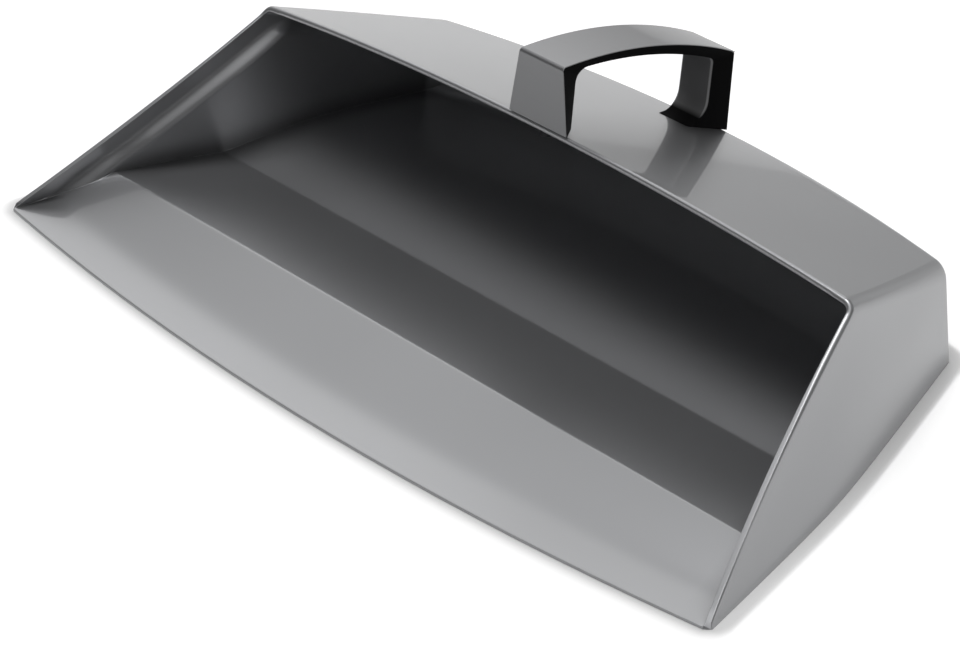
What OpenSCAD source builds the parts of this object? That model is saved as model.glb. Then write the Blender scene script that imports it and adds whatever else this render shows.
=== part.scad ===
// Hooded hand dustpan: a one-piece glossy pan with a hood over its rear half,
// a ridge behind the lip that keeps the sweepings in, and a short bridge handle along the hood.
// Millimetres. +Z is up, the lip faces -Y, and the origin lies on the floor under the middle.

/* [Pan] */
// Width of the mouth between the corners of the lip
lip_w = 370; // [300:1:440]
// How far the middle of the lip stands in front of its corners
lip_bow = 14.3; // [6:0.1:24]
// Distance from the lip corners back to the bend in the sides
bend_d = 83; // [60:1:100]
// Width of the base at the bend, as a share of the lip's width
bend_share = 0.91; // [0.8:0.01:1]
// Distance from the lip corners back to the rear corners of the base
base_d = 180.2; // [150:0.1:210]
// Width of the base at its rear corners, as a share of the lip's width
rear_share = 0.736; // [0.6:0.001:0.9]
// How far the back bulges behind the rear corners
back_bow = 14.8; // [5:0.1:25]
// Inward lean of the sides in front of the bend, in degrees
side_lean_front = 12.1; // [4:0.1:20]
// Inward lean of the sides behind the bend, in degrees
side_lean_rear = 6.3; // [2:0.1:14]
// Forward lean of the back, in degrees
back_lean = 2.8; // [1:0.1:8]
// Thickness of the sides, the back and the hood
wall_t = 2.2; // [1.6:0.1:3.2]

/* [Floor] */
// Thickness of the floor
floor_t = 2.2; // [1.6:0.1:3.2]
// Thickness of the lip at its edge
lip_t = 1.2; // [0.8:0.1:2]
// Depth of the flat land behind the lip corners
land_d = 8; // [3:0.5:16]
// Distance from the lip corners to the ridge
ridge_d = 38.2; // [28:0.1:50]
// Height of the ridge
ridge_h = 8.7; // [5:0.1:13]
// Distance from the lip corners to the foot of the ridge's rear slope
valley_d = 85.8; // [65:0.1:100]

/* [Hood] */
// Distance from the lip corners to the hood's front edge
hood_d = 103.7; // [92:0.1:120]
// Height of the hood's front edge at the middle
hood_h = 72.3; // [62:0.1:84]
// Fall of the hood towards the back, in degrees
hood_fall = 20.1; // [14:0.1:24]
// Radius of the hood's crown from side to side
hood_r = 1536; // [900:1:2400]
// How far the mouth's upper corners lie below the hood's front edge
mouth_drop = 10.2; // [9:0.1:16]
// Radius in the mouth's upper corners
mouth_r = 6; // [2:0.5:10]

/* [Handle] */
// Rise of the handle's front top corner above the hood's front edge
front_rise = 26.1; // [20:0.1:40]
// Rise of the handle's rear top corner above the hood there
rear_rise = 33.2; // [26:0.1:46]
// How far the handle's rear top corner stands behind the foot of the back
grip_over = 2; // [0:0.1:6]
// Radius of the arched top
arch_r = 211; // [150:1:400]
// Backward lean of the front leg, in degrees
front_lean = 3.5; // [0:0.1:12]
// Backward lean of the rear leg, in degrees
rear_lean = 6.5; // [0:0.1:12]
// Width of the handle along its top
grip_w = 21.6; // [18:0.1:28]
// Width of the handle at the rim of the finger gap
gap_w = 14.8; // [10:0.1:17]
// Spread of each flank down the front leg, in degrees
front_spread = 8; // [0:0.1:10]
// Spread of each flank down the rear leg, in degrees
rear_spread = 2; // [0:0.1:9]
// Thickness of the front leg
front_leg_t = 8.8; // [7:0.1:12]
// Thickness of the rear leg
rear_leg_t = 8.4; // [7:0.1:12]
// Thickness of the bar over the finger gap
bar_t = 4.8; // [3.6:0.1:9]
// Thickness of the bright cover strip
cover_t = 1.4; // [1:0.1:2.2]
// Thickness left along the cover's sharp edge
cover_edge_t = 0.6; // [0.4:0.1:0.9]
// Radius in the front top corner of the finger gap
gap_front_r = 5; // [1:0.5:8]
// Radius in the rear top corner of the finger gap
gap_rear_r = 3; // [1:0.5:6]
// Radius of the sweep from the rear leg into the hood
foot_r = 8; // [3:0.5:12]
// Size of the cutter in the handle's rounded corners, as a share of their radius
corner_share = 1.01; // [1.005:0.005:1.05]

/* [Fixings] */
// Clearance between pieces that fit together
fit_gap = 0.15; // [0.1:0.05:0.3]
// Radius of the screw's shank
screw_r = 1.5; // [1.2:0.1:2]
// Radius of the screw's head
screw_head_r = 3; // [2.4:0.1:3.4]
// Thickness of the screw's head
screw_head_t = 1.8; // [1.2:0.1:2.4]
// Length of the screw under its head, as a share of the height from its seat to the handle's top
screw_share = 0.46; // [0.3:0.01:0.5]
// Radius of the screw's cross recess
recess_r = 1.3; // [0.9:0.1:1.6]
// Width of one arm of the cross recess
recess_w = 0.7; // [0.5:0.1:1]
// Depth of the cross recess
recess_t = 1; // [0.6:0.1:1.2]
// Width of the hooked tongue under the rear leg
tongue_w = 10; // [6:0.5:12]
// Thickness of the hooked tongue
tongue_t = 2; // [1.4:0.1:2.6]
// Reach of the tongue's hook
hook_l = 1.4; // [1:0.1:2]
// Thickness of the tongue's hook
hook_t = 1.6; // [1.2:0.1:2.4]
// Radius of the cover's peg in the front leg
peg_r = 1.8; // [1.4:0.1:2.2]
// Length of the cover's peg
peg_l = 2.4; // [1.6:0.1:3]

/* [Hidden] */
$fn = 96;
// How far cuts run past what they cut
over = 1;
// Space wide enough to hold the whole pan
reach = 2 * lip_w;

grey = [0.55, 0.56, 0.57];
black = [0.06, 0.06, 0.065];
steel = [0.7, 0.71, 0.72];

bend_w = bend_share * lip_w;
base_rear_w = rear_share * lip_w;
side_turn_front = atan((lip_w - bend_w) / 2 / bend_d);
side_turn_rear = atan((bend_w - base_rear_w) / 2 / (base_d - bend_d));
lip_r = (pow(lip_w / 2, 2) + pow(lip_bow, 2)) / (2 * lip_bow);
back_r = (pow(base_rear_w / 2, 2) + pow(back_bow, 2)) / (2 * back_bow);
back_centre_y = base_d + back_bow - back_r;
ramp_angle = atan((ridge_h - lip_t) / (ridge_d - land_d));

mouth_h = hood_h - mouth_drop;
rim_angle = atan((mouth_h - lip_t) / hood_d);
mouth_half_angle = (90 + rim_angle) / 2;
mouth_corner = [hood_d, mouth_h];
mouth_tangent = mouth_r / tan(mouth_half_angle);
mouth_turn = 90 + mouth_half_angle;
mouth_centre = mouth_corner + mouth_r / sin(mouth_half_angle) * [cos(mouth_turn), sin(mouth_turn)];

// Height of the hood's outer face at a distance from the lip corners
function hood_at(d) = hood_h - (d - hood_d) * tan(hood_fall);

grip_front_h = hood_h + front_rise;
grip_rear_y = base_d + back_bow + grip_over;
grip_rear_h = hood_at(grip_rear_y) + rear_rise;
grip_front_top = [hood_d + front_rise * tan(front_lean), grip_front_h];
grip_rear_top = [grip_rear_y, grip_rear_h];
grip_chord = grip_rear_top - grip_front_top;
grip_fall = atan(-grip_chord.y / grip_chord.x);
arch_drop = sqrt(pow(arch_r, 2) - pow(norm(grip_chord) / 2, 2));
arch_centre = (grip_front_top + grip_rear_top) / 2 - arch_drop * [sin(grip_fall), cos(grip_fall)];
arch_in_r = arch_r - bar_t;
mid_y = (grip_rear_y - lip_bow) / 2;

front_up = [sin(front_lean), cos(front_lean)];
front_in = [cos(front_lean), -sin(front_lean)];
rear_up = [sin(rear_lean), cos(rear_lean)];
rear_in = [-cos(rear_lean), sin(rear_lean)];
hood_up = [sin(hood_fall), cos(hood_fall)];
hood_along = [cos(hood_fall), -sin(hood_fall)];
front_face = grip_front_top + front_leg_t * front_in;
rear_face = grip_rear_top + rear_leg_t * rear_in;
flank_w = (grip_w - gap_w) / 2;

hood_under = wall_t / cos(hood_fall);
screw_y = hood_d + (cover_t + fit_gap + front_leg_t) / 2;
screw_seat_h = hood_at(screw_y) - hood_under;
screw_l = screw_share * (grip_front_h - screw_seat_h);
rear_foot_h = hood_at(grip_rear_y - rear_leg_t);
tongue_y = base_d + back_bow - rear_foot_h * tan(back_lean) - wall_t - tongue_t - 2 * fit_gap;
tongue_low_h = hood_at(tongue_y + tongue_t) - hood_under - fit_gap - hook_t;

// How far along a line a circle about c with radius r is met
function meet(p, u, c, r) = -(p - c) * u + sqrt(pow((p - c) * u, 2) - pow(norm(p - c), 2) + r * r);

// Crossing of two lines
function cross_at(p, u, q, v) = p + u * ((q - p).x * v.y - (q - p).y * v.x) / (u.x * v.y - u.y * v.x);

// Outline in depth and height, drawn across the width w
module across(w) {
    rotate([90, 0, 90])
        linear_extrude(w, center = true)
            children();
}

// Space behind a flat face that is turned about +Z and leans inward
module behind_face(turn, lean, inset) {
    rotate([0, -lean, turn])
        translate([-inset - reach, -reach, -reach])
            cube([reach, 2 * reach, 2 * reach]);
}

// Space between the two sides, moved in by inset
module between_sides(inset) {
    intersection_for (side = [0, 1])
        mirror([side, 0, 0])
            intersection() {
                translate([lip_w / 2, 0, 0])
                    behind_face(side_turn_front, side_lean_front, inset);
                translate([bend_w / 2, bend_d, 0])
                    behind_face(side_turn_rear, side_lean_rear, inset);
            }
}

// Space under the hood's crowned face, moved by inset
module under_hood(inset) {
    translate([0, hood_d, hood_h])
        rotate([-90 - hood_fall, 0, 0])
            translate([0, hood_r, -reach])
                cylinder(r = hood_r - inset, h = 2 * reach, $fn = 360);
}

// Space in front of the bulged back, moved in by inset
module before_back(inset) {
    translate([0, back_centre_y, -over])
        cylinder(
            r1 = back_r - inset + over * tan(back_lean),
            r2 = back_r - inset - (hood_h - over) * tan(back_lean),
            h = hood_h + over,
            $fn = 240
        );
}

// Outline of the room above the floor: land, ramp, ridge and valley
module above_floor_outline() {
    polygon([
        [-lip_bow - over, lip_t],
        [land_d, lip_t],
        [ridge_d, ridge_h],
        [valley_d, floor_t],
        [base_d + back_bow + over, floor_t],
        [base_d + back_bow + over, hood_h + over],
        [-lip_bow - over, hood_h + over]
    ]);
}

// Outline of the hollow under the ridge
module under_ridge_outline() {
    start = land_d + (floor_t / cos(ramp_angle) - lip_t) / tan(ramp_angle);
    polygon([
        [start, -over],
        [start, 0],
        [ridge_d, ridge_h - floor_t / cos(ramp_angle)],
        [valley_d, 0],
        [valley_d, -over]
    ]);
}

// Outline of the open mouth in front of the rims and the hood's edge
module mouth_outline() {
    polygon([
        [-lip_bow - over, lip_t],
        [0, lip_t],
        mouth_corner - mouth_tangent * [cos(rim_angle), sin(rim_angle)],
        mouth_centre,
        mouth_corner + [0, mouth_tangent],
        [hood_d, hood_h + over],
        [-lip_bow - over, hood_h + over]
    ]);
    translate(mouth_centre)
        circle(mouth_r);
}

// Outline of the handle between its faces, moved in at the front, the top and the rear
module grip_outline(front_inset, top_inset, rear_inset) {
    front_top = grip_front_top + front_inset * front_in;
    rear_top = grip_rear_top + rear_inset * rear_in;
    intersection() {
        polygon([
            front_top - grip_front_h * front_up,
            front_top + bar_t * front_up,
            rear_top + grip_front_h * rear_up,
            rear_top - grip_rear_h * rear_up
        ]);
        translate(arch_centre)
            circle(arch_r - top_inset, $fn = 240);
    }
}

// Filler between a leg's face and the arch, leaving a rounded corner
module arch_corner(p, u, inward, r) {
    base = p + r * inward;
    centre = base + u * meet(base, u, arch_centre, arch_in_r - r);
    corner = p + u * meet(p, u, arch_centre, arch_in_r);
    out = arch_centre + (centre - arch_centre) * arch_in_r / norm(centre - arch_centre);
    difference() {
        polygon([centre - r * inward, corner + over * (u - inward), out + over * u, out, centre]);
        translate(centre)
            circle(corner_share * r);
    }
}

// Filler that sweeps from the rear leg's face into the hood
module foot_corner() {
    centre = cross_at(
        rear_face + foot_r * rear_in, rear_up,
        [hood_d, hood_h] + foot_r * hood_up, hood_along
    );
    corner = cross_at(rear_face, rear_up, [hood_d, hood_h], hood_along);
    difference() {
        polygon([
            centre - foot_r * rear_in,
            centre,
            centre - foot_r * hood_up,
            corner - over * hood_up - over * rear_in
        ]);
        translate(centre)
            circle(corner_share * foot_r);
    }
}

// Outline of the finger gap, reaching down through the hood's face
module gap_outline() {
    difference() {
        intersection() {
            polygon([
                front_face - grip_front_h * front_up,
                front_face + bar_t * front_up,
                rear_face + grip_front_h * rear_up,
                rear_face - grip_rear_h * rear_up
            ]);
            translate(arch_centre)
                circle(arch_in_r, $fn = 240);
        }
        arch_corner(front_face, front_up, front_in, gap_front_r);
        arch_corner(rear_face, rear_up, rear_in, gap_rear_r);
        foot_corner();
    }
}

// Room beside the finger gap where one flank slopes out to the handle's edge
module flank_room() {
    front_flank = atan((front_leg_t - cover_edge_t) / flank_w);
    rear_flank = atan(rear_leg_t / flank_w);
    arch_step = (bar_t - cover_edge_t) / flank_w;
    intersection() {
        translate([gap_w / 2, front_face.x, front_face.y])
            rotate([-front_lean, 0, 0])
                rotate([0, -front_spread, 0])
                    rotate([0, 0, -front_flank])
                        translate([-reach / 2, 0, -reach / 2])
                            cube([reach, reach, reach]);
        translate([gap_w / 2, rear_face.x, rear_face.y])
            rotate([-rear_lean, 0, 0])
                rotate([0, -rear_spread, 0])
                    rotate([0, 0, rear_flank])
                        translate([-reach / 2, -reach, -reach / 2])
                            cube([reach, reach, reach]);
        translate([0, arch_centre.x, arch_centre.y])
            rotate([0, 90, 0])
                cylinder(
                    r1 = arch_in_r - gap_w / 2 * arch_step,
                    r2 = arch_in_r + (grip_w - gap_w / 2) * arch_step,
                    h = grip_w,
                    $fn = 240
                );
    }
}

// Handle without its gap: an outline across the width, spreading down the legs
module grip_block(front_inset, top_inset, rear_inset) {
    intersection() {
        across(2 * grip_w)
            grip_outline(front_inset, top_inset, rear_inset);
        intersection_for (side = [0, 1])
            mirror([side, 0, 0])
                translate([grip_w / 2, grip_front_top.x, grip_front_top.y])
                    rotate([-grip_fall, 0, 0])
                        rotate([0, -front_spread, 0])
                            translate([-reach, -reach / 2, -reach / 2])
                                cube([reach, reach, reach]);
    }
}

// Finger gap with both its sloping flanks
module grip_gap() {
    across(2 * grip_w)
        gap_outline();
    for (side = [0, 1])
        mirror([side, 0, 0])
            flank_room();
}

// Place of the screw, where its head meets the hood's inside
module at_screw() {
    translate([0, screw_y, screw_seat_h])
        children();
}

// Peg of the cover, straight back from the middle of its front face's thickness
module peg(r, l) {
    h = (hood_h + grip_front_h) / 2 + peg_r;
    translate([0, grip_front_top.x - (grip_front_h - h) * tan(front_lean) + cover_t / 2, h])
        rotate([-90, 0, 0])
            cylinder(r = r, h = cover_t / 2 + l);
}

// Tongue under the rear leg, grown by gap for the slot that it passes through
module tongue(gap) {
    translate([-tongue_w / 2 - gap, tongue_y - gap, tongue_low_h])
        cube([tongue_w + 2 * gap, tongue_t + 2 * gap, rear_foot_h + wall_t - tongue_low_h]);
}

// Hook of the tongue, pointing forward under the hood
module hook() {
    translate([-tongue_w / 2, tongue_y - hook_l, tongue_low_h])
        cube([tongue_w, hook_l + tongue_t, hook_t]);
}

module pan_shell() {
    color(grey)
        translate([0, -mid_y, 0])
            difference() {
                intersection() {
                    between_sides(0);
                    under_hood(0);
                    before_back(0);
                    translate([0, lip_r - lip_bow, 0])
                        cylinder(r = lip_r, h = hood_h, $fn = 360);
                }
                intersection() {
                    between_sides(wall_t);
                    under_hood(wall_t);
                    before_back(wall_t);
                    across(2 * lip_w)
                        above_floor_outline();
                }
                intersection() {
                    between_sides(wall_t);
                    across(2 * lip_w)
                        under_ridge_outline();
                }
                across(2 * lip_w)
                    mouth_outline();
                at_screw()
                    cylinder(r = screw_r + fit_gap, h = screw_l);
                at_screw()
                    translate([0, 0, -screw_head_t])
                        cylinder(r = screw_head_r + fit_gap, h = screw_head_t);
                tongue(fit_gap);
            }
}

module grip_core() {
    color(black)
        translate([0, -mid_y, 0])
            difference() {
                union() {
                    difference() {
                        grip_block(cover_t + fit_gap, cover_t + fit_gap, 0);
                        grip_gap();
                        under_hood(-fit_gap);
                    }
                    tongue(0);
                    hook();
                }
                at_screw()
                    cylinder(r = screw_r, h = screw_l + fit_gap);
                peg(peg_r + fit_gap, peg_l + fit_gap);
            }
}

module handle_cover() {
    color(grey)
        translate([0, -mid_y, 0]) {
            difference() {
                grip_block(0, 0, 0);
                across(4 * grip_w)
                    grip_outline(cover_t, cover_t, -over);
                grip_gap();
                under_hood(-fit_gap);
            }
            peg(peg_r, peg_l);
        }
}

module handle_screw() {
    color(steel)
        translate([0, -mid_y, 0])
            at_screw()
                difference() {
                    union() {
                        cylinder(r = screw_r, h = screw_l);
                        translate([0, 0, -screw_head_t])
                            cylinder(r = screw_head_r, h = screw_head_t);
                    }
                    for (turn = [0, 90])
                        rotate([0, 0, turn])
                            translate([-recess_r, -recess_w / 2, -screw_head_t - over])
                                cube([2 * recess_r, recess_w, recess_t + over]);
                }
}

pan_shell();
grip_core();
handle_cover();
handle_screw();
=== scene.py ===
import math

import bmesh
import bpy
import numpy as np
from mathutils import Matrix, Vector


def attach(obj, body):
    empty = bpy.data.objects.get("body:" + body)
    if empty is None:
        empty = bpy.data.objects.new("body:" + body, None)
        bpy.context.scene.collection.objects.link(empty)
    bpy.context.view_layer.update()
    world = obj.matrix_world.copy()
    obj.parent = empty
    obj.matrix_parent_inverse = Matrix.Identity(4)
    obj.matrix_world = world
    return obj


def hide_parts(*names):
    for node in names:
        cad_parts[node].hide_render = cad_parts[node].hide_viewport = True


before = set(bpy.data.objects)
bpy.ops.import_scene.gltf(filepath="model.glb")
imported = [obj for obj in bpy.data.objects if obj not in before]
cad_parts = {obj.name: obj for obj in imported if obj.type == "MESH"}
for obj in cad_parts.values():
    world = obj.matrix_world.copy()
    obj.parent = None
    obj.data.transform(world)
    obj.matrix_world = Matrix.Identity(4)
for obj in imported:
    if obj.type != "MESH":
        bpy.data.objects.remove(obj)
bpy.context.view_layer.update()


# Pan: one injection moulding of glossy metallic grey plastic.
# Lip, ramp, ridge, valley, sides, bulged back and crowned hood run into each other without a seam.
# Depths are measured from the corners of the lip towards the back, in metres.

lip_y = -0.09135
lip_half, lip_bow, lip_t = 0.185, 0.0143, 0.0012
lip_r = (lip_half**2 + lip_bow**2) / (2 * lip_bow)
corner_r, corner_rise = 0.0038, 0.006
band_w, band_soft = 0.0165, 0.0045
ridge_d, ridge_h = 0.0382, 0.0087
valley_d, floor_t, wall_t = 0.0858, 0.0022, 0.0022
rear_climb, climb_run = math.tan(math.radians(8.5)), 0.05
crease_soft = 0.0002

bend_d, bend_half, rear_d, rear_half = 0.083, 0.16835, 0.1802, 0.13616
bend_soft = 0.003
front_turn = math.atan((lip_half - bend_half) / bend_d)
rear_turn = math.atan((bend_half - rear_half) / (rear_d - bend_d))
front_lean, rear_lean, back_lean = (math.radians(a) for a in (12.1, 6.3, 2.8))
back_bow = 0.0148
back_r = (rear_half**2 + back_bow**2) / (2 * back_bow)

hood_d, hood_h, hood_fall, hood_r = 0.1037, 0.0723, math.radians(20.1), 1.536
mouth_h, mouth_r = 0.0621, 0.006
rim_angle = math.atan((mouth_h - lip_t) / hood_d)
rim_in_r, rim_out_r, lip_edge_r, rim_grow = 0.0003, 0.0017, 0.0004, 0.02
bow_out, bow_turn, bow_run = 0.009, 0.87, 0.06


def soft_plus(v, soft):
    """v where it is above nought and nought below, with a soft turn between."""
    return 0.5 * (v + np.sqrt(v * v + soft * soft))


def from_rim(depth, z):
    """How far a place on the side lies behind the open rim."""
    slanted = depth * math.sin(rim_angle) - (z - lip_t) * math.cos(rim_angle)
    return np.maximum(slanted, depth - hood_d)


def lip_depth(x):
    return lip_r - lip_bow - np.sqrt(lip_r**2 - x * x)


def lip_corner(x, z):
    """How far the lip's rounded end lies behind its bow."""
    out = np.clip((np.abs(x) - lip_half + corner_r) / corner_r, 0, 1)
    return corner_r * (1 - np.sqrt(1 - out * out)) * np.clip(1 - z / corner_rise, 0, 1)


def rim_bow(depth, z):
    """How far the sides swing out (or in, below nought) near the open rim."""
    fade = np.clip(1 - from_rim(depth, z) / bow_run, 0, 1)
    rise = np.maximum(z, 0) / mouth_h
    return bow_out * rise * (rise - bow_turn) * fade * fade * (3 - 2 * fade)


def side_x(depth, z, inset):
    """Half width of the pan at its side, which bends between a front and a rear plane."""
    front = (
        lip_half - math.tan(front_turn) * depth - math.tan(front_lean) / math.cos(front_turn) * z
        - inset / math.cos(front_turn) / math.cos(front_lean)
    )
    rear = (
        bend_half - math.tan(rear_turn) * (depth - bend_d) - math.tan(rear_lean) / math.cos(rear_turn) * z
        - inset / math.cos(rear_turn) / math.cos(rear_lean)
    )
    return front - soft_plus(front - rear, bend_soft) + rim_bow(depth, z)


def hood_z(x, depth, inset):
    crown = x * x / (2 * hood_r * math.cos(hood_fall))
    return hood_h - math.tan(hood_fall) * (depth - hood_d) - crown - inset / math.cos(hood_fall)


def back_depth(x, z, inset):
    r = back_r - inset - math.tan(back_lean) * z
    return rear_d + back_bow - back_r + np.sqrt(np.maximum(r * r - x * x, 0))


def floor_z(x, depth):
    """Height of the floor: the lip's flat band, the ramp, the slope to the valley and the rear floor."""
    band_end = lip_depth(x) + band_w
    at_lip = soft_plus(-band_w, band_soft)
    at_ridge = soft_plus(ridge_d - band_end, band_soft) - at_lip
    ramp = lip_t + (ridge_h - lip_t) * (soft_plus(depth - band_end, band_soft) - at_lip) / at_ridge
    slope = ridge_h - (ridge_h - floor_t) * (depth - ridge_d) / (valley_d - ridge_d)
    past = np.clip(depth - valley_d, 0, climb_run)
    rear = floor_t + rear_climb * (past - past * past / (2 * climb_run))
    slope = rear + soft_plus(slope - rear, crease_soft)
    return ramp - soft_plus(ramp - slope, crease_soft)


def under_z(depth):
    skin = floor_t / math.cos(math.atan((ridge_h - lip_t) / (ridge_d - band_w)))
    return np.where(depth < valley_d, np.maximum(floor_z(0 * depth, depth) - skin, 0), 0)


def rim_depth(z):
    """Depth of the open rim: a straight slant, a rounded corner, then the hood's front edge."""
    half = (math.pi / 2 + rim_angle) / 2
    reach = mouth_r / math.tan(half)
    centre_d = hood_d + mouth_r / math.sin(half) * math.cos(math.pi / 2 + half)
    centre_z = mouth_h + mouth_r / math.sin(half) * math.sin(math.pi / 2 + half)
    arc = centre_d + np.sqrt(np.maximum(mouth_r**2 - (z - centre_z) ** 2, 0))
    straight = (z - lip_t) / math.tan(rim_angle)
    above = np.where(z < centre_z, arc, hood_d)
    return np.where(z < mouth_h - reach * math.sin(rim_angle), straight, above)


# How the cross-section of the tub runs: floor, corner, side, edge, hood, as counts of points on one half.
# The points on the floor and the hood close up towards the side.
n_floor, n_corner, n_side = 18, 5, 48
part = np.repeat(np.arange(5), [n_floor + 1, n_corner, n_side + 1, n_corner, n_floor + 1])
near_side = [0.966, 0.975, 0.982, 0.988, 0.993, 0.997, 0.999, 1]
across_shares = np.concatenate([np.linspace(0, 0.955, n_floor + 1 - len(near_side)), near_side])
corner_shares = np.linspace(0, 1, n_corner + 2)[1:-1]
share = np.concatenate([
    across_shares, corner_shares, np.linspace(0, 1, n_side + 1), corner_shares, 1 - across_shares[::-1],
])
ledge_d, ledge_w, ledge_t = 0.0064, 0.0054, 0.0050
ledge_end, ledge_run, ledge_top = 0.088, 0.06, 8
edge_r_front, edge_r_back, least_edge_r = 0.0048, 0.0066, 0.0002
foot_r, foot_skip = 0.0001, 0.25
lean_step = 0.004
edge_guess, foot_guess = 0.8, 0.9


def ledge(depth, z):
    """How far the wall steps in behind the rim. The step dies out under the hood."""
    step = np.clip((from_rim(depth, z) - ledge_d) / ledge_w, 0, 1)
    fade = np.clip((depth - ledge_end) / ledge_run, 0, 1)
    return ledge_t * step * step * (3 - 2 * step) * (1 - fade * fade * (3 - 2 * fade))


def section(depth, inset, lift, inside):
    """Half widths and heights of the tub's points, each at its own depth and inset."""
    # side and hood meet at the edge
    z_e = hood_z(edge_guess * lip_half, depth, inset)
    for _ in range(12):
        x_e = side_x(depth, z_e, inset)
        z_e = hood_z(x_e, depth, inset)
    side_m = (side_x(depth, z_e - lean_step, inset) - x_e) / lean_step
    hood_m = x_e / (hood_r * math.cos(hood_fall))
    gone = np.clip((depth - hood_d) / (rear_d - hood_d), 0, 1)
    edge_r = np.maximum(edge_r_front + (edge_r_back - edge_r_front) * gone - inset, least_edge_r)
    down = np.stack([side_m, -np.ones_like(side_m)]) / np.sqrt(1 + side_m**2)
    along = np.stack([-np.ones_like(hood_m), hood_m]) / np.sqrt(1 + hood_m**2)
    half = np.arccos(np.clip((down * along).sum(0), -1, 1)) / 2
    run = edge_r / np.tan(half)
    corner = np.stack([x_e, z_e])
    low, top = corner + run * down, corner + run * along
    bisect = (down + along) / np.linalg.norm(down + along, axis=0)
    centre = corner + bisect * edge_r / np.sin(half)
    # floor and side meet at the foot
    if inside:
        z_f = floor_z(foot_guess * side_x(depth, lean_step, inset), depth) + lift
        r = foot_r
        m = (side_x(depth, z_f, inset) - side_x(depth, z_f + lean_step, inset)) / lean_step
        x_c = side_x(depth, z_f + r, inset) - ledge(depth, z_f + r) - r * np.sqrt(1 + m * m)
        turn = -math.pi / 2 + share * (math.pi / 2 + np.arctan(m))
        x_foot, z_foot = x_c + r * np.cos(turn), z_f + r + r * np.sin(turn)
        x_floor, z_floor = share * x_c, floor_z(share * x_c, depth) + lift
        z_low = z_f + r + r * m / np.sqrt(1 + m * m)
    else:
        x_in, x_out = side_x(depth, 0, inset + wall_t), side_x(depth, 0, inset)
        x_foot, z_foot = x_in + (share - foot_skip) / (1 - foot_skip) * (x_out - x_in), 0 * share
        x_floor, z_floor = share * x_in, under_z(depth)
        z_low = 0 * depth
    z_side = z_low + share * (low[1] - z_low)
    x_side = side_x(depth, z_side, inset)
    if inside:
        x_side = x_side - ledge(depth, z_side) * np.clip((1 - share) * ledge_top, 0, 1)
    arm_a, arm_b = low - centre, top - centre
    spread = np.arccos(np.clip((arm_a * arm_b).sum(0) / edge_r**2, -1, 1))
    swing_a, swing_b = np.sin((1 - share) * spread), np.sin(share * spread)
    bow = centre + (swing_a * arm_a + swing_b * arm_b) / np.sin(spread)
    x_hood = top[0] * (1 - share)
    x = np.choose(part, [x_floor, x_foot, x_side, bow[0], x_hood])
    z = np.choose(part, [z_floor, z_foot, z_side, bow[1], hood_z(x_hood, depth, inset)])
    return x, z


# Depths at which the section is taken, along the floor:
# over the lip's band, the ramp, the ridge and the valley.
band_turn, ramp_turn = band_w - 0.004, band_w + 0.006
floor_stops = np.concatenate([np.linspace(0, band_turn, 7)[1:], np.linspace(band_turn, ramp_turn, 7)[1:]])
ramp_shares = np.linspace(0, 1, 9)[1:-1]
ramp_stop, last_stop, row_step = ridge_d - 0.002, 0.176, 0.004
rim_clear, low_z, back_guess = 0.0038, 0.002, 0.17
crease_stops = np.array([-0.0012, -0.0006, -0.0002, 0.0002, 0.0006, 0.0012])
slope_stops = np.concatenate([
    ridge_d + crease_stops, np.linspace(ridge_d + row_step, valley_d - row_step, 15),
    valley_d + crease_stops, np.linspace(valley_d + row_step, last_stop, 26),
])


def half_tub(inset, inside, rounding):
    """Rows of points of one half from the mouth to the back, then the rows that round into the back."""
    flat = np.zeros(len(part))
    start = np.where(part == 0, 0.0, hood_d)
    for _ in range(60):
        x, z = section(start, inset, flat, inside)
        lip = lip_depth(x)
        want = np.where(part == 0, lip, np.maximum(rim_depth(z), lip)) + lip_corner(x, z)
        start = start + 0.5 * (want - start)
    end = flat + back_guess
    for _ in range(20):
        x, z = section(end, inset, flat, inside)
        end = back_depth(x, z, inset) - rounding
    ramp_start = floor_stops[-1]
    edge_lip = start[n_floor]
    edge_ramp = edge_lip + ramp_start
    edge_stops = np.concatenate([
        edge_lip + floor_stops, edge_ramp + ramp_shares * (ramp_stop - edge_ramp), slope_stops,
    ])
    rows = [(start, section(start, inset, flat, inside))]
    for i, stop in enumerate(edge_stops):
        gone = (stop - edge_lip) / (last_stop + row_step - edge_lip)
        depth = start + rim_clear + gone * (end - start - rim_clear)
        lip = lip_depth(share * side_x(stop, low_z, inset))
        if i < len(floor_stops):
            on_floor = lip + floor_stops[i]
        elif i < len(floor_stops) + len(ramp_shares):
            on_floor = lip + ramp_start
            on_floor = on_floor + ramp_shares[i - len(floor_stops)] * (ramp_stop - on_floor)
        else:
            past = max(0, (stop - valley_d) / (last_stop - valley_d))
            on_floor = stop + (end - last_stop - row_step) * past
        depth = np.where(part == 0, on_floor, depth)
        rows.append((depth, section(depth, inset, flat, inside)))
    for turn in np.linspace(0, math.pi / 2, 8):
        grown = rounding * (1 - math.cos(turn))
        depth = end
        for _ in range(12):
            x, z = section(depth, inset + grown, grown, inside)
            depth = back_depth(x, z, inset) - rounding * (1 - math.sin(turn))
        rows.append((depth, (x, z)))
    return [np.stack([x, depth + lip_y, z], 1) for depth, (x, z) in rows]


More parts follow.
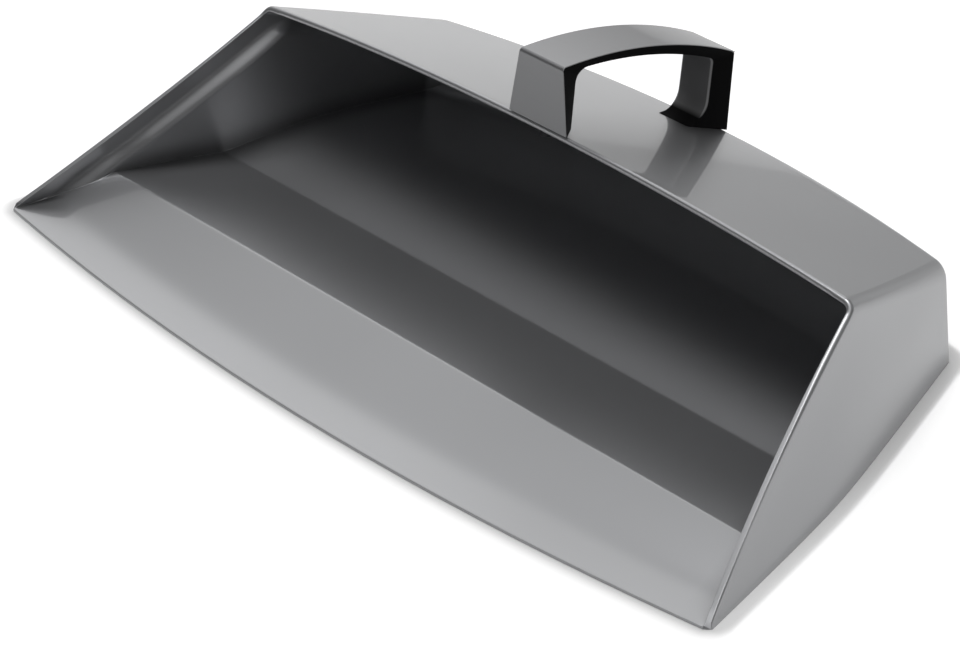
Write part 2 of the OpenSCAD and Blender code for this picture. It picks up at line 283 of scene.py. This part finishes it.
def back_grid(last, inset):
    """Points and quads that fill one half of the back, between the ends of floor, side and hood."""
    n = len(part)
    wide = n_floor + n_corner + 1
    rise = (last[wide:wide + n_side + 1, 2] - last[wide, 2]) / (last[wide + n_side, 2] - last[wide, 2])
    points, index = [], np.zeros((n_side + 1, wide + 1), int)
    index[0], index[n_side] = np.arange(wide + 1), n - 1 - np.arange(wide + 1)
    index[:, wide] = wide + np.arange(n_side + 1)
    for j in range(1, n_side):
        for k in range(wide):
            spot = last[k] + rise[j] * (last[n - 1 - k] - last[k])
            spot[1] = back_depth(spot[0], spot[2], inset) + lip_y
            index[j, k] = n + len(points)
            points.append(spot)
    quads = [
        (index[j, k], index[j, k + 1], index[j + 1, k + 1], index[j + 1, k])
        for j in range(n_side) for k in range(wide)
    ]
    return np.array(points), np.array(quads)


def swept(rows):
    """All the points of rows of points, and the quads between each row and the next."""
    n = len(rows[0])
    quads = [
        (r * n + i, r * n + i + 1, (r + 1) * n + i + 1, (r + 1) * n + i)
        for r in range(len(rows) - 1) for i in range(n - 1)
    ]
    return np.concatenate(rows), quads


weld, sliver = 0.000004, 0.000002


def mirrored_mesh(name, points, quads):
    """A mesh of a half and its mirror image, joined along the middle, with its open ends closed."""
    mesh = bpy.data.meshes.new(name)
    flip = points * np.array([-1, 1, 1])
    both = np.concatenate([points, flip])
    faces = [tuple(q) for q in quads] + [tuple(len(points) + i for i in reversed(q)) for q in quads]
    mesh.from_pydata(both.tolist(), [], [tuple(int(i) for i in f) for f in faces])
    bm = bmesh.new()
    bm.from_mesh(mesh)
    bmesh.ops.remove_doubles(bm, verts=bm.verts, dist=weld)
    bmesh.ops.dissolve_degenerate(bm, edges=bm.edges, dist=sliver)
    for f in bm.faces:
        f.smooth = True
    for f in bmesh.ops.holes_fill(bm, edges=[e for e in bm.edges if e.is_boundary])["faces"]:
        f.smooth = False
        for e in f.edges:
            e.smooth = False
    bmesh.ops.recalc_face_normals(bm, faces=bm.faces)
    bm.to_mesh(mesh)
    bm.free()
    return bpy.data.objects.new(name, mesh)


# The back's inner corner is wide at the floor and tight under the hood, its outer corner the same all round.
n = len(part)
back_out_r, back_in_r, back_top_r = 0.0024, 0.005, 0.0012
high_side, near_hood = n_floor + n_corner + int(0.6 * n_side), n_floor + 2 * n_corner + n_side + 6
inner = half_tub(wall_t, True, np.interp(np.arange(n), [high_side, near_hood], [back_in_r, back_top_r]))
outer = half_tub(0.0, False, np.full(n, back_out_r))

# The rim and the lip join the two skins: nearly sharp inside, rounded outside, and finer towards the lip.
lip_share, in_share, out_share, low_rim, least_square = 0.4, 0.42, 0.8, 0.05, 0.48
across = outer[0] - inner[0]
thick = np.linalg.norm(across, axis=1, keepdims=True)
across = across / thick
high = np.clip(inner[0][:, 2:] / rim_grow, 0, 1)
rim = []
for rows, way, r in ((inner, across, rim_in_r), (outer, -across, rim_out_r)):
    most = (in_share if r < lip_edge_r else out_share) * thick
    edge = np.minimum(lip_edge_r + (r - lip_edge_r) * high, most)
    edge = np.where(high < low_rim, np.minimum(edge, lip_share * thick), edge)
    back = rows[1] - rows[0]
    back = back / np.linalg.norm(back, axis=1, keepdims=True)
    run = np.gradient(rows[0], axis=0)
    run = run / np.linalg.norm(run, axis=1, keepdims=True)
    square = np.linalg.norm(back - (back * run).sum(1, keepdims=True) * run, axis=1, keepdims=True)
    reach = edge / np.maximum(square, least_square)
    middle = rows[0] + reach * back + edge * way
    rim.append([
        middle - math.cos(turn) * edge * way - math.sin(turn) * reach * back
        for turn in np.linspace(0, math.pi / 2, 7)
    ])
sheet = inner[:0:-1] + rim[0] + rim[1][::-1] + outer[1:]
points, quads = swept(sheet)
for row, inset, swap in ((0, wall_t, True), (len(sheet) - 1, 0.0, False)):
    more, fill = back_grid(sheet[row], inset)
    fill = np.where(fill < n, fill + row * n, fill - n + len(points))
    quads += [tuple(q[::-1]) if swap else tuple(q) for q in fill]
    points = np.concatenate([points, more])
pan = mirrored_mesh("pan", points, quads)
bpy.context.collection.objects.link(pan)


def node_group(name, inputs, outputs):
    """A shader node group with its own named sockets. Returns the group, its input and its output node."""
    group = bpy.data.node_groups.new(name, "ShaderNodeTree")
    for label, kind, value in inputs:
        socket = group.interface.new_socket(label, in_out="INPUT", socket_type=kind)
        socket.default_value = value
    for label, kind in outputs:
        group.interface.new_socket(label, in_out="OUTPUT", socket_type=kind)
    return group, group.nodes.new("NodeGroupInput"), group.nodes.new("NodeGroupOutput")


def placed(tree, kind, links=None, **settings):
    """A node with its settings, and its inputs given as values or as sockets to link."""
    node = tree.nodes.new(kind)
    for key, value in settings.items():
        setattr(node, key, value)
    for key, value in (links or {}).items():
        if isinstance(value, bpy.types.NodeSocket):
            tree.links.new(value, node.inputs[key])
        else:
            node.inputs[key].default_value = value
    return node


# Moulded grain: a faint long ripple from the mould, a fine skin, and thin scuffs, in the object's own metres.
grain, grain_in, grain_out = node_group(
    "moulded_grain",
    [(label, "NodeSocketFloat", 1.0) for label in ("Ripple", "Skin", "Scuffs")],
    [(label, "NodeSocketFloat") for label in ("Height", "Wear", "Tone")],
)
spot = placed(grain, "ShaderNodeTexCoord").outputs["Object"]
ripple = placed(grain, "ShaderNodeTexNoise", {"Vector": spot, "Scale": 14.0, "Detail": 1.0, "Roughness": 0.4})
skin = placed(grain, "ShaderNodeTexNoise", {"Vector": spot, "Scale": 900.0, "Detail": 2.0, "Roughness": 0.55})
stretch = placed(
    grain, "ShaderNodeMapping", {"Vector": spot, "Rotation": (0.0, 0.0, 0.35), "Scale": (9.0, 160.0, 60.0)},
)
hairs = placed(grain, "ShaderNodeTexNoise", {"Vector": stretch.outputs["Vector"], "Scale": 6.0, "Detail": 3.0})
hair_mask = placed(
    grain, "ShaderNodeMapRange", {"Value": hairs.outputs["Fac"], "From Min": 0.62, "From Max": 0.78},
)
ripple_part, skin_part, scuff_part = (
    placed(grain, "ShaderNodeMath", {0: mark, 1: grain_in.outputs[label]}, operation="MULTIPLY").outputs[0]
    for mark, label in (
        (ripple.outputs["Fac"], "Ripple"), (skin.outputs["Fac"], "Skin"),
        (hair_mask.outputs["Result"], "Scuffs"),
    )
)
height = placed(grain, "ShaderNodeMath", {0: ripple_part, 1: skin_part}, operation="ADD")
grain.links.new(height.outputs[0], grain_out.inputs["Height"])
grain.links.new(scuff_part, grain_out.inputs["Wear"])
grain.links.new(ripple.outputs["Fac"], grain_out.inputs["Tone"])


# Ambient occlusion reach and limits for the painted corner shade, and the dark grey that it paints.
nook_reach, nook_open, nook_shut, painted_shade_grey = 0.011, 0.95, 0.5, (0.05, 0.05, 0.05, 1)


def blended(tree, share, first, second):
    """A colour between two, by a share that varies over the surface."""
    return placed(tree, "ShaderNodeMix", {"Factor": share, 6: first, 7: second}, data_type="RGBA").outputs[2]


def finish(name, dark, light, rough_low, rough_high, bump, grain_values, painted_shade=0.0, **plain):
    """A plastic or metal: colour and roughness follow the grain, and shade is painted darker into the corners
    and hollows that ambient occlusion finds. The plain values sit on the shader itself."""
    material = bpy.data.materials.new(name)
    material.use_nodes = True
    tree = material.node_tree
    shader = tree.nodes["Principled BSDF"]
    for key, value in plain.items():
        shader.inputs[key.replace("_", " ")].default_value = value
    marks = placed(tree, "ShaderNodeGroup", node_tree=grain)
    for key, value in grain_values.items():
        marks.inputs[key].default_value = value
    colour = blended(tree, marks.outputs["Tone"], (*dark, 1), (*light, 1))
    worn = placed(tree, "ShaderNodeMapRange", {
        "Value": marks.outputs["Wear"], "To Min": rough_low, "To Max": rough_high,
    })
    lift = placed(tree, "ShaderNodeBump", {
        "Height": marks.outputs["Height"], "Strength": 1.0, "Distance": bump,
    })
    # Painted shade: where ambient occlusion finds a corner or hollow, the colour is darkened towards a dark
    # grey.
    if painted_shade:
        nook = placed(
            tree, "ShaderNodeAmbientOcclusion", {"Distance": nook_reach}, only_local=True, samples=8,
        )
        corner_shade = placed(tree, "ShaderNodeMapRange", {
            "Value": nook.outputs["AO"], "From Min": nook_open, "From Max": nook_shut, "To Max": painted_shade,
        })
        colour = blended(tree, corner_shade.outputs["Result"], colour, painted_shade_grey)
    tree.links.new(colour, shader.inputs["Base Color"])
    tree.links.new(worn.outputs["Result"], shader.inputs["Roughness"])
    tree.links.new(lift.outputs["Normal"], shader.inputs["Normal"])
    return material


def even_shading(piece):
    """Large faces lead the smooth shading, so that small rounded edges don't bend it."""
    piece.modifiers.new("even_shading", "WEIGHTED_NORMAL").keep_sharp = True


# The pan's corners and hollows are painted darker as shade by its finish.
pan_grey = finish(
    "pan_plastic", (0.396, 0.400, 0.412), (0.436, 0.440, 0.453), 0.41, 0.47, 0.00001,
    {"Ripple": 0.3, "Skin": 0.05, "Scuffs": 0.5},
    painted_shade=0.40, Metallic=0.85, Coat_Weight=1.0, Coat_Roughness=0.03, Coat_IOR=1.5,
)
pan.data.materials.append(pan_grey)
even_shading(pan)
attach(pan, "root")
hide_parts("pan_shell")


# Handle, black part: one moulding of matt black plastic, the inside of the bridge from leg to leg.
# A screw from under the hood holds its front leg, and a hook under the rear leg catches the hood's edge.
# Its window's rim and its outer edges are rounded, and the rear leg sweeps forward into the hood.

def below(point, top, up):
    """How far a point of the handle lies below its top, along a leg."""
    return float((top - point) @ up)


def arch_hit(p, u, r):
    """How far along a line from p the circle of the arch with radius r is met."""
    off = p - arch_centre
    return -off @ u + math.sqrt((off @ u) ** 2 - off @ off + r * r)


def crossing(p, u, q, v):
    """Where the line from p along u meets the line from q along v."""
    return p + u * ((q - p)[0] * v[1] - (q - p)[1] * v[0]) / (u[0] * v[1] - u[1] * v[0])


def unit(v):
    return v / np.linalg.norm(v)


def line(a, b, count):
    return [a + (b - a) * s for s in np.linspace(0, 1, count)]


def arc(centre, a, b, count):
    """Points on the circle about centre from a to b, the short way round."""
    start = math.atan2(*(a - centre)[::-1])
    turn = (math.atan2(*(b - centre)[::-1]) - start + math.pi) % (2 * math.pi) - math.pi
    r0, r1 = np.linalg.norm(a - centre), np.linalg.norm(b - centre)
    return [
        centre + (r0 + (r1 - r0) * s) * np.array([math.cos(start + turn * s), math.sin(start + turn * s)])
        for s in np.linspace(0, 1, count)
    ]


leg_lean, tail_lean = math.radians(3.5), math.radians(6.5)
front_rise, rear_rise, grip_over, arch_r = 0.0261, 0.0332, 0.002, 0.211
leg_t, tail_t, bar_t = 0.0114, 0.0084, 0.0052
grip_half, gap_half = 0.0109, 0.0074
leg_spread, tail_spread, gap_close = math.tan(math.radians(8.0)), math.tan(math.radians(2.0)), 0.05
gap_front_r, gap_rear_r, sweep_r = 0.005, 0.003, 0.008
cover_t, cover_edge, inlay_w, fit_gap = 0.0014, 0.0003, 0.0012, 0.00015
window_edge_r = 0.0014
rest_gap = 0.00004

hood_up = np.array([math.sin(hood_fall), math.cos(hood_fall)])
hood_along = np.array([math.cos(hood_fall), -math.sin(hood_fall)])
hood_front = np.array([hood_d, hood_h]) + rest_gap * hood_up
leg_up = np.array([math.sin(leg_lean), math.cos(leg_lean)])
leg_in = np.array([math.cos(leg_lean), -math.sin(leg_lean)])
tail_up = np.array([math.sin(tail_lean), math.cos(tail_lean)])
tail_in = np.array([-math.cos(tail_lean), math.sin(tail_lean)])
front_top = np.array([hood_d + front_rise * math.tan(leg_lean), hood_h + front_rise])
rear_top_d = rear_d + back_bow + grip_over
rear_top = np.array([rear_top_d, float(hood_z(0.0, rear_top_d, 0.0)) + rear_rise])
chord = rear_top - front_top
arch_drop = math.sqrt(arch_r**2 - chord @ chord / 4)
arch_centre = (front_top + rear_top) / 2 - arch_drop * np.array([-chord[1], chord[0]]) / np.linalg.norm(chord)
gap_r = arch_r - bar_t

leg_face, tail_face = front_top + leg_t * leg_in, rear_top + tail_t * tail_in
base = leg_face + gap_front_r * leg_in
front_bend = base + leg_up * arch_hit(base, leg_up, gap_r - gap_front_r)
base = tail_face + gap_rear_r * tail_in
rear_bend = base + tail_up * arch_hit(base, tail_up, gap_r - gap_rear_r)
sweep = crossing(tail_face + sweep_r * tail_in, tail_up, hood_front + sweep_r * hood_up, hood_along)

n_leg, n_bend, n_arch, n_tail, n_sweep = 9, 9, 33, 9, 9
leg_foot = crossing(leg_face, leg_up, hood_front, hood_along)
bend_0 = front_bend - gap_front_r * leg_in
bend_1 = front_bend + gap_front_r * unit(front_bend - arch_centre)
bend_2 = rear_bend + gap_rear_r * unit(rear_bend - arch_centre)
bend_3 = rear_bend - gap_rear_r * tail_in
sweep_0, sweep_1 = sweep - sweep_r * tail_in, sweep - sweep_r * hood_up
window = (
    line(leg_foot, bend_0, n_leg)[:-1] + arc(front_bend, bend_0, bend_1, n_bend)[:-1]
    + arc(arch_centre, bend_1, bend_2, n_arch)[:-1] + arc(rear_bend, bend_2, bend_3, n_bend)[:-1]
    + line(bend_3, sweep_0, n_tail)[:-1] + arc(sweep, sweep_0, sweep_1, n_sweep)
)


def outside(inset):
    """The handle's outline, its front and top moved in by an inset, point for point opposite the window's."""
    front = front_top + inset * leg_in
    front_corner = front + leg_up * arch_hit(front, leg_up, arch_r - inset)
    rear_corner = rear_top + tail_up * arch_hit(rear_top, tail_up, arch_r - inset)
    half = n_bend // 2 + 1
    foot = crossing(front, leg_up, hood_front, hood_along)
    start = bend_0 - (leg_t - inset) * leg_in
    on_arch = [arch_centre + (arch_r - inset) * unit(p - arch_centre) for p in (bend_1, bend_2)]
    end = bend_3 - tail_t * tail_in
    low = sweep_0 - tail_t * tail_in
    tail_foot = crossing(rear_top, tail_up, hood_front, hood_along)
    return (
        line(foot, start, n_leg)[:-1] + line(start, front_corner, half)[:-1]
        + arc(arch_centre, front_corner, on_arch[0], half)[:-1]
        + arc(arch_centre, on_arch[0], on_arch[1], n_arch)[:-1]
        + arc(arch_centre, on_arch[1], rear_corner, half)[:-1] + line(rear_corner, end, half)[:-1]
        + line(end, low, n_tail)[:-1] + line(low, tail_foot, n_sweep)
    )


def rounded(polygon, radii, steps):
    """Points of an open polygon in the plane with its inner corners rounded."""
    points = [polygon[0]]
    for a, b, c, r in zip(polygon, polygon[1:], polygon[2:], radii):
        u, v = unit(a - b), unit(c - b)
        half = math.acos(np.clip(u @ v, -1, 1)) / 2
        room = 0.45 * min(np.linalg.norm(a - b), np.linalg.norm(c - b))
        reach = min(r / math.tan(half), room)
        points += [b + reach * ((1 - s) ** 2 * u + s * s * v) for s in np.linspace(0, 1, steps)]
    return points + [polygon[-1]]


def half_widths(inner, edge, i):
    """Half widths of the handle at a place on the window's rim and on the outer edge."""
    on_leg, on_tail = n_leg + n_bend // 2 - 1, n_leg + n_bend + n_arch + n_bend // 2 - 3
    wide_in, wide_out = gap_half, grip_half
    if i < on_leg:
        wide_out += leg_spread * max(0, below(edge, front_top, leg_up))
        wide_in -= gap_close * max(0, below(inner, leg_face, leg_up) - bar_t)
    if i >= on_tail:
        wide_out += tail_spread * max(0, below(edge, rear_top, tail_up))
    return wide_in, wide_out


def ring(middle, corners, radii, steps):
    """A cross-section of half the handle: corners given as half width and place in depth and height."""
    inner, outer = middle
    way = unit(outer - inner)
    flat = [np.array([w, (p - inner) @ way]) for w, p in corners]
    spots = rounded(flat, radii, steps)
    return np.array([[w, *(inner + t * way)] for w, t in spots]) + np.array([0, lip_y, 0])


edge_line, core_line = outside(cover_edge + fit_gap), outside(cover_t + fit_gap)
outer_edge_r, inlay_edge_r = 0.0003, 0.00005
rings = []
for i, (p, e, q) in enumerate(zip(window, edge_line, core_line)):
    wide_in, wide_out = half_widths(p, e, i)
    wide_q = wide_out - inlay_w
    q = e + min(-fit_gap, (q - e) @ unit(e - p)) * unit(e - p)
    rings.append(ring(
        (p, e), [(0.0, p), (wide_in, p), (wide_out, e), (wide_q, e), (wide_q, q), (0.0, q)],
        (window_edge_r, outer_edge_r, inlay_edge_r, inlay_edge_r), 6,
    ))
grip = mirrored_mesh("grip", *swept(rings))
bpy.context.collection.objects.link(grip)
grip_black = finish(
    "grip_plastic", (0.009, 0.009, 0.0094), (0.013, 0.013, 0.0135), 0.55, 0.7, 0.00002,
    {"Ripple": 0.3, "Skin": 0.3, "Scuffs": 0.5}, Specular_IOR_Level=0.01,
)
# The face that the fingers pull on, which faces the front, is painted dark grey as painted light, and its
# rounded edge is painted paler as a painted highlight.
painted_lit_grey, painted_highlight_grey = (0.22, 0.22, 0.223, 1), (0.48, 0.48, 0.485, 1)
tree = grip_black.node_tree
shader = tree.nodes["Principled BSDF"]
black = shader.inputs["Base Color"].links[0].from_socket
facing = placed(tree, "ShaderNodeSeparateXYZ", {0: placed(tree, "ShaderNodeTexCoord").outputs["Normal"]})
sideways = placed(tree, "ShaderNodeMath", {0: facing.outputs["X"]}, operation="ABSOLUTE")
lit_face = placed(
    tree, "ShaderNodeMapRange", {"Value": facing.outputs["Y"], "From Min": -0.5, "From Max": -0.75},
)
highlight_edge = placed(tree, "ShaderNodeMath", {0: sideways.outputs[0], 1: 0.5, 2: 0.32}, operation="COMPARE")
painted_light = blended(tree, highlight_edge.outputs[0], painted_lit_grey, painted_highlight_grey)
tree.links.new(blended(tree, lit_face.outputs["Result"], black, painted_light), shader.inputs["Base Color"])
grip.data.materials.append(grip_black)
even_shading(grip)
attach(grip, "root")
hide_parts("grip_core")


# Handle, cover: a thin strip of metallic grey plastic, the face of the front leg and the top of the bridge.
# It is moulded in one, bent over a small rounded edge, and lies in the black part as an inlay.
# A peg behind its front face, not seen, is pressed into the front leg.

crease_r, fold_r = 0.0016, 0.0002
strip_counts = 9, 7, 41
top_edge_r, lap_edge_r = 0.0002, 0.0001


def cover_line(inset, r):
    """Places along the strip's middle, from the hood up the front and along the top, moved in by an inset."""
    front = front_top + inset * leg_in
    base = front + r * leg_in
    fold = base + leg_up * arch_hit(base, leg_up, arch_r - inset - r)
    fold_0, fold_1 = fold - r * leg_in, fold + r * unit(fold - arch_centre)
    end = rear_top + tail_up * arch_hit(rear_top, tail_up, arch_r - inset)
    foot = crossing(front, leg_up, hood_front, hood_along)
    return (
        line(foot, fold_0, strip_counts[0])[:-1] + arc(fold, fold_0, fold_1, strip_counts[1])[:-1]
        + arc(arch_centre, fold_1, end, strip_counts[2])
    )


rings = []
up_front = strip_counts[0] + strip_counts[1] // 2
for i, (p, q) in enumerate(zip(cover_line(0.0, crease_r), cover_line(cover_t, fold_r))):
    wide = grip_half + leg_spread * max(0, below(p, front_top, leg_up)) * (i < up_front)
    edge_at = p + cover_edge * unit(q - p)
    wide_q = wide - inlay_w - fit_gap
    rings.append(ring(
        (p, q), [(0.0, p), (wide, p), (wide, edge_at), (wide_q, edge_at), (wide_q, q), (0.0, q)],
        (top_edge_r, lap_edge_r, lap_edge_r, top_edge_r), 4,
    ))
cover = mirrored_mesh("cover", *swept(rings))
bpy.context.collection.objects.link(cover)
cover_grey = finish(
    "cover_plastic", (0.268, 0.270, 0.278), (0.298, 0.301, 0.309), 0.44, 0.50, 0.00001,
    {"Ripple": 0.3, "Skin": 0.05, "Scuffs": 0.5},
    Metallic=0.85, Coat_Weight=0.6, Coat_Roughness=0.06, Coat_IOR=1.5,
)
cover.data.materials.append(cover_grey)
even_shading(cover)
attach(cover, "root")
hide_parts("handle_cover")


# Screw: a small blackened steel screw with a cross recess, driven up from inside the hood into the front leg.
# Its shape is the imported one.

screw_steel = finish(
    "screw_metal", (0.030, 0.030, 0.032), (0.045, 0.045, 0.047), 0.30, 0.5, 0.00001,
    {"Ripple": 0.3, "Skin": 0.5, "Scuffs": 1.0}, Metallic=1.0,
)
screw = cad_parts["handle_screw"]
screw.data.materials.clear()
screw.data.materials.append(screw_steel)


# Studio: a wide white floor that shows white to the camera, with a soft dark fringe painted in as shadow where
# the pan stands, a dim surround with soft pale panels (each given as height and bearing in degrees, and
# level), one large soft box high above the lip, and the camera at the photograph's place.

floor_half, floor_seen, floor_mirrored = 4.0, 0.42, 0.16
painted_shadow_reach, painted_shadow_depth = 0.0068, 36.0
panels = (
    (8, 0, 0.55), (8, -45, 0.47), (35, -45, 1.5), (35, 45, 0.35), (35, -90, 0.3),
    (63, 120, 1.15), (63, 180, 0.5),
)
surround, panel_edge = 0.05, 18.0
box_side, box_power, box_at = 1.62, 48.0, Vector((-0.36, -0.40, 3.42))
eye_at, eye_on = Vector((0.75894, -0.74405, 0.67320)), Vector((0.03968, -0.05434, 0.03265))

floor_mesh = bpy.data.meshes.new("floor")
floor_corners = ((-1, -1), (1, -1), (1, 1), (-1, 1))
floor_mesh.from_pydata([(x * floor_half, y * floor_half, 0) for x, y in floor_corners], [], [(0, 1, 2, 3)])
floor = bpy.data.objects.new("floor", floor_mesh)
bpy.context.collection.objects.link(floor)
floor_white = bpy.data.materials.new("floor_white")
floor_white.use_nodes = True
tree = floor_white.node_tree
shader = tree.nodes["Principled BSDF"]
shader.inputs["Base Color"].default_value = (0.95, 0.95, 0.95, 1)
shader.inputs["Roughness"].default_value = 0.9
shader.inputs["Specular IOR Level"].default_value = 0.1
path = placed(tree, "ShaderNodeLightPath")
mirrored = placed(
    tree, "ShaderNodeMath", {0: path.outputs["Is Glossy Ray"], 1: path.outputs["Is Transmission Ray"]},
    operation="MAXIMUM",
)
seen = placed(tree, "ShaderNodeMath", {0: path.outputs["Is Camera Ray"], 1: floor_seen}, operation="MULTIPLY")
lift = placed(
    tree, "ShaderNodeMath", {0: mirrored.outputs[0], 1: floor_mirrored, 2: seen.outputs[0]},
    operation="MULTIPLY_ADD",
)
# Painted shadow: the floor's glow is dimmed near the pan by ambient occlusion raised to a high power, which
# gives a soft dark fringe.
near = placed(tree, "ShaderNodeAmbientOcclusion", {"Distance": painted_shadow_reach}, samples=48)
shade = placed(tree, "ShaderNodeMath", {0: near.outputs["AO"], 1: painted_shadow_depth}, operation="POWER")
lift = placed(tree, "ShaderNodeMath", {0: lift.outputs[0], 1: shade.outputs[0]}, operation="MULTIPLY")
shader.inputs["Emission Color"].default_value = (1, 1, 1, 1)
tree.links.new(lift.outputs[0], shader.inputs["Emission Strength"])
floor.data.materials.append(floor_white)

world = bpy.data.worlds.new("studio")
bpy.context.scene.world = world
world.use_nodes = True
tree = world.node_tree
sky = tree.nodes["Background"]
way = placed(tree, "ShaderNodeTexCoord").outputs["Generated"]
glow = surround
for height, bearing, level in panels:
    up, around = math.radians(height), math.radians(bearing)
    axis = (math.cos(up) * math.sin(around), math.cos(up) * math.cos(around), math.sin(up))
    facing = placed(tree, "ShaderNodeVectorMath", {0: way, 1: axis}, operation="DOT_PRODUCT")
    facing = placed(tree, "ShaderNodeMath", {0: facing.outputs["Value"], 1: 0.0}, operation="MAXIMUM")
    panel = placed(tree, "ShaderNodeMath", {0: facing.outputs[0], 1: panel_edge}, operation="POWER")
    glow = placed(tree, "ShaderNodeMath", {0: panel.outputs[0], 1: level, 2: glow}, operation="MULTIPLY_ADD")
    glow = glow.outputs[0]
sky.inputs["Color"].default_value = (1, 1, 1, 1)
tree.links.new(glow, sky.inputs["Strength"])

key_lamp = bpy.data.lights.new("key_box", "AREA")
key_lamp.shape = "RECTANGLE"
key_lamp.size = key_lamp.size_y = box_side
key_lamp.energy = box_power
key_box = bpy.data.objects.new("key_box", key_lamp)
key_box.location = box_at
key_box.rotation_euler = (-box_at).to_track_quat("-Z", "Y").to_euler()
bpy.context.collection.objects.link(key_box)

eye = bpy.data.cameras.new("camera")
eye.lens, eye.sensor_width = 127.5, 36.0
eye.clip_start, eye.clip_end = 0.05, 50.0
camera = bpy.data.objects.new("camera", eye)
camera.location = eye_at
camera.rotation_euler = (eye_on - eye_at).to_track_quat("-Z", "Y").to_euler()
bpy.context.collection.objects.link(camera)
bpy.context.scene.camera = camera
bpy.context.scene.view_settings.view_transform = "Standard"
